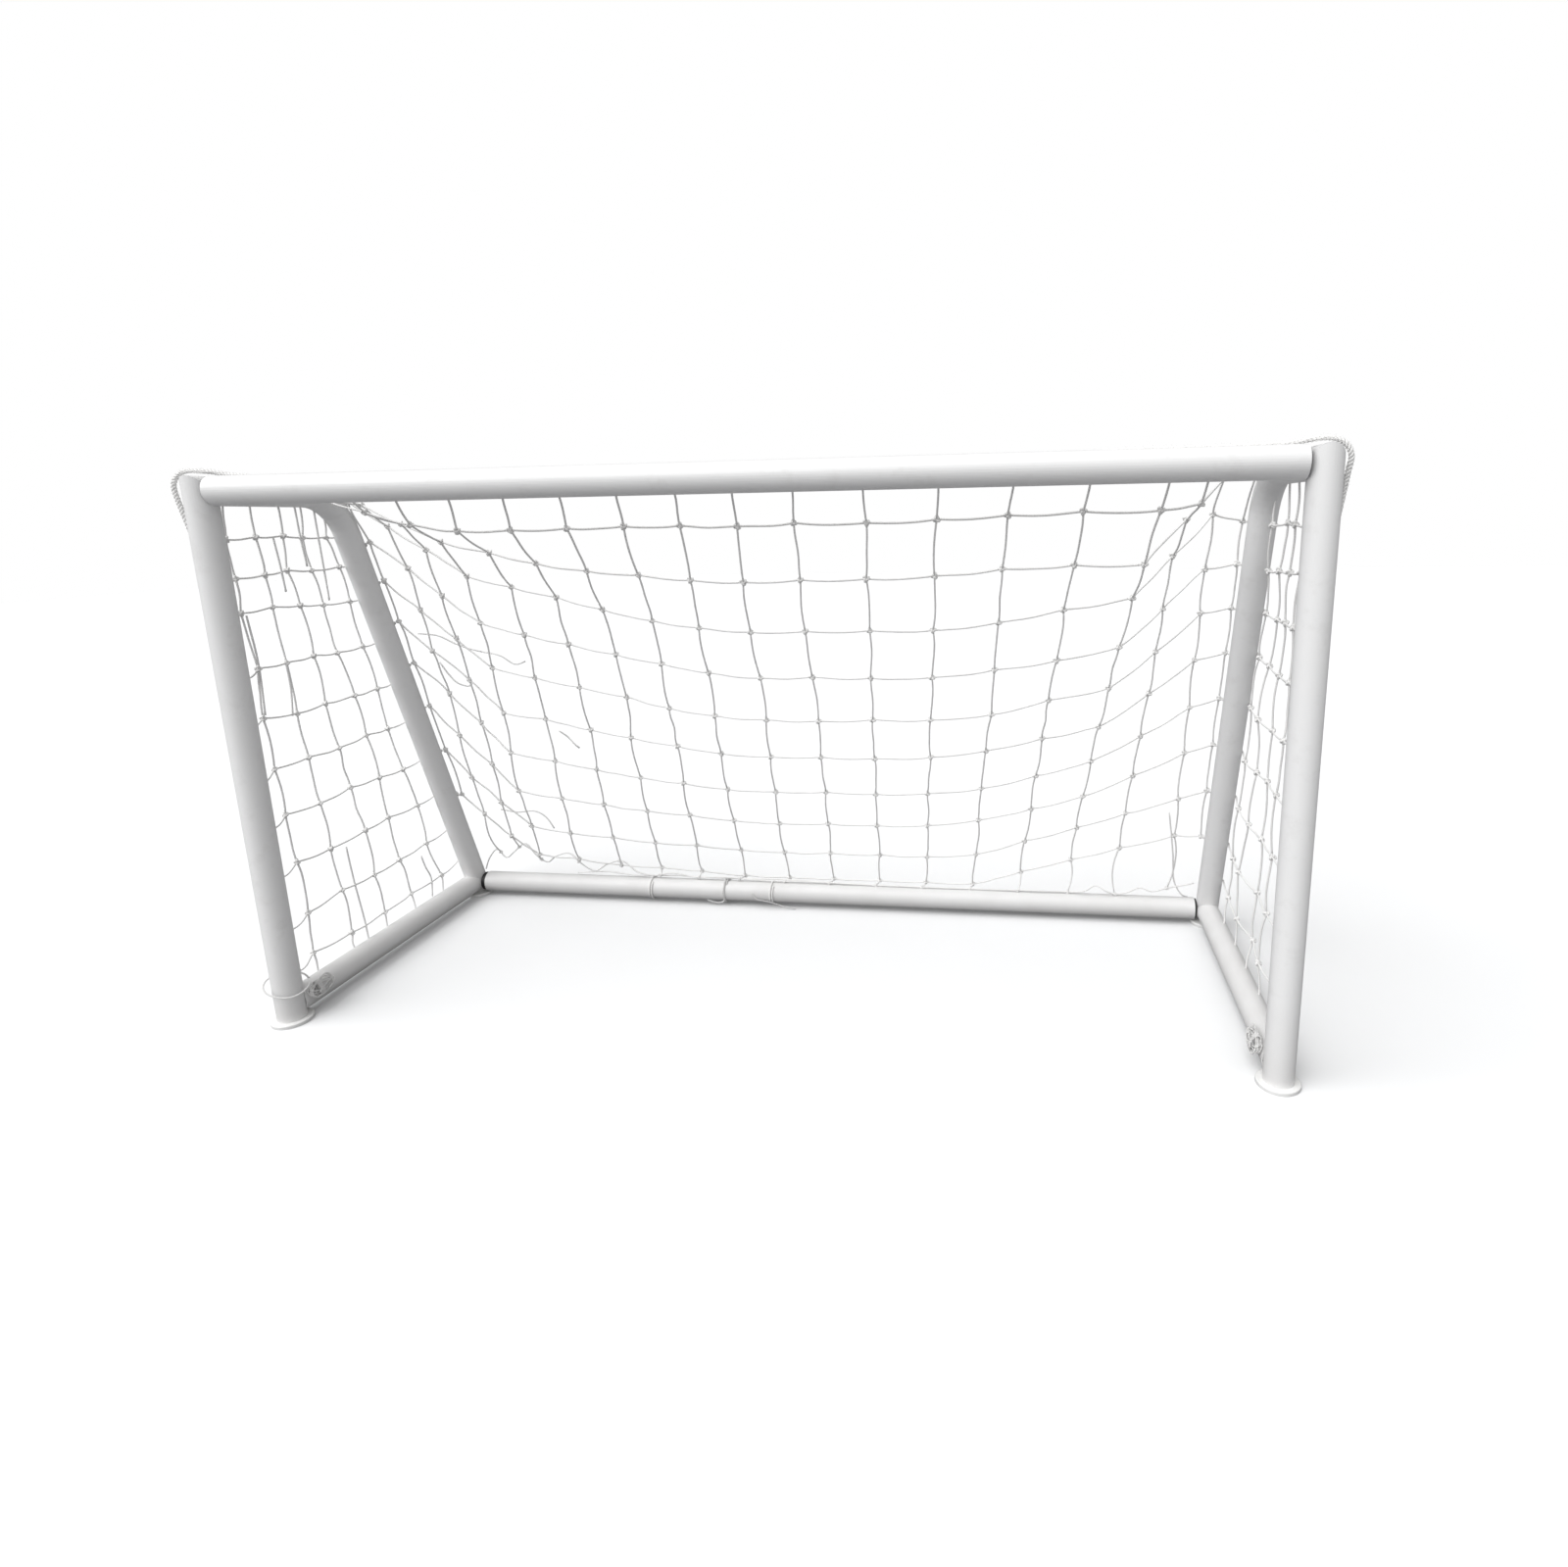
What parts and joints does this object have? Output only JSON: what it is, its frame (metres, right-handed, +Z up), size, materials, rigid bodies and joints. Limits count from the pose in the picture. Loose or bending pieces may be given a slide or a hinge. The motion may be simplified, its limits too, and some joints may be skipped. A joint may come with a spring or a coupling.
{
  "type": "soccer goal frame",
  "caption": "Small freestanding soccer goal: round tube frame with a curved rear stay at each side, ground bars, disc feet and a knotted square-mesh net.",
  "frame": {"origin": "on the floor, at the middle of the frame's footprint", "axes": "+X along the crossbar to the right, +Y from the mouth to the rear, +Z up"},
  "size_m": [1.9487, 0.6842, 1.0524],
  "materials": {
    "painted_tube": "satin white powder coat",
    "foot_plastic": "satin white moulded plastic",
    "spigot_plastic": "matt black moulded plastic",
    "net_twine": "braided off-white twine",
    "white_cord": "twisted off-white cord"
  },
  "bodies": {
    "root": {"left_post": "painted_tube", "right_post": "painted_tube", "left_roof_and_stay_tube": "painted_tube", "right_roof_and_stay_tube": "painted_tube", "left_ground_bar": "painted_tube", "right_ground_bar": "painted_tube", "crossbar": "painted_tube", "rear_ground_bar": "painted_tube", "left_front_foot": "foot_plastic", "right_front_foot": "foot_plastic", "left_rear_foot": "foot_plastic", "right_rear_foot": "foot_plastic", "crossbar_left_spigot": "spigot_plastic", "crossbar_right_spigot": "spigot_plastic", "rear_ground_bar_left_spigot": "spigot_plastic", "rear_ground_bar_right_spigot": "spigot_plastic", "main_net": "net_twine", "left_side_net": "net_twine", "right_side_net": "net_twine", "border_rope": "white_cord", "left_tie_loop": "white_cord", "left_tie_hank": "white_cord", "right_tie_hank": "white_cord", "rear_tie": "white_cord", "rear_loose_end": "white_cord"}
  },
  "joints": []
}
